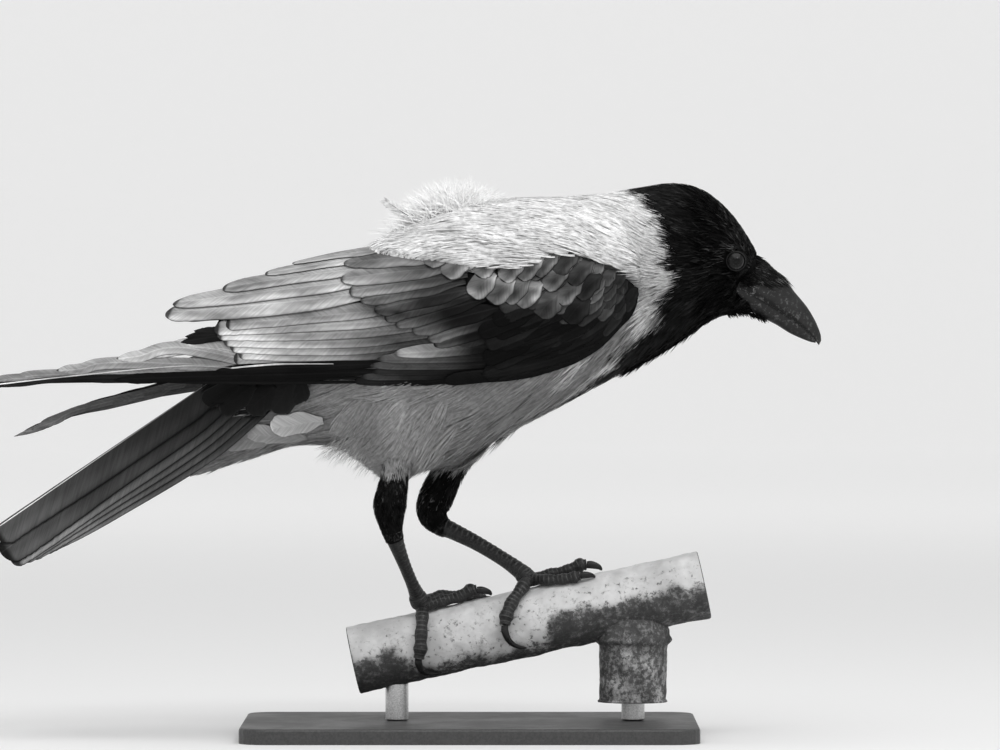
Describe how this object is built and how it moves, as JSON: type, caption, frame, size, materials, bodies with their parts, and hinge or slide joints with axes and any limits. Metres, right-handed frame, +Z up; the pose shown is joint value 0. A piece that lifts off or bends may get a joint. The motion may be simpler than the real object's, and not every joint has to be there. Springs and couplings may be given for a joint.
{
  "type": "hooded crow figure",
  "caption": "Life-size hooded crow, wings folded, leaning forward and gripping a short sloped length of handrail on a flat display stand.",
  "frame": {"origin": "middle of the underside of the stand's base, which rests on the floor", "axes": "+X the way the bird faces, +Y towards its left side, +Z up"},
  "size_m": [0.4416, 0.15, 0.2875],
  "materials": {
    "grey_plumage": "soft overlapping feathers, matt",
    "black_plumage": "short black feathers with a slight sheen",
    "flight_feathers": "stiff vanes with a satin sheen",
    "bill_horn": "satin horn, lightly scuffed",
    "eye": "wet gloss",
    "leg_scales": "scaled skin, satin",
    "claw_horn": "smooth horn",
    "painted_rail": "chipped pale paint over rust",
    "stand_board": "plain satin charcoal",
    "stand_steel": "brushed"
  },
  "bodies": {
    "root": {"trunk": "grey_plumage", "neck": "grey_plumage", "head": "black_plumage", "tail": "flight_feathers", "bill_upper": "bill_horn", "bill_lower": "bill_horn", "eye_right": "eye", "eye_left": "eye", "wing_right_coverts": "flight_feathers", "wing_right_tertials": "flight_feathers", "wing_right_secondaries": "flight_feathers", "wing_right_primaries": "flight_feathers", "thigh_right": "black_plumage", "shank_right": "leg_scales", "foot_right": "leg_scales", "claw_right_1": "claw_horn", "claw_right_2": "claw_horn", "claw_right_3": "claw_horn", "claw_right_4": "claw_horn", "wing_left_coverts": "flight_feathers", "wing_left_tertials": "flight_feathers", "wing_left_secondaries": "flight_feathers", "wing_left_primaries": "flight_feathers", "thigh_left": "black_plumage", "shank_left": "leg_scales", "foot_left": "leg_scales", "claw_left_1": "claw_horn", "claw_left_2": "claw_horn", "claw_left_3": "claw_horn", "claw_left_4": "claw_horn", "perch_rail": "painted_rail", "stand_base": "stand_board", "stand_rod_front": "stand_steel", "stand_rod_rear": "stand_steel"}
  },
  "joints": []
}
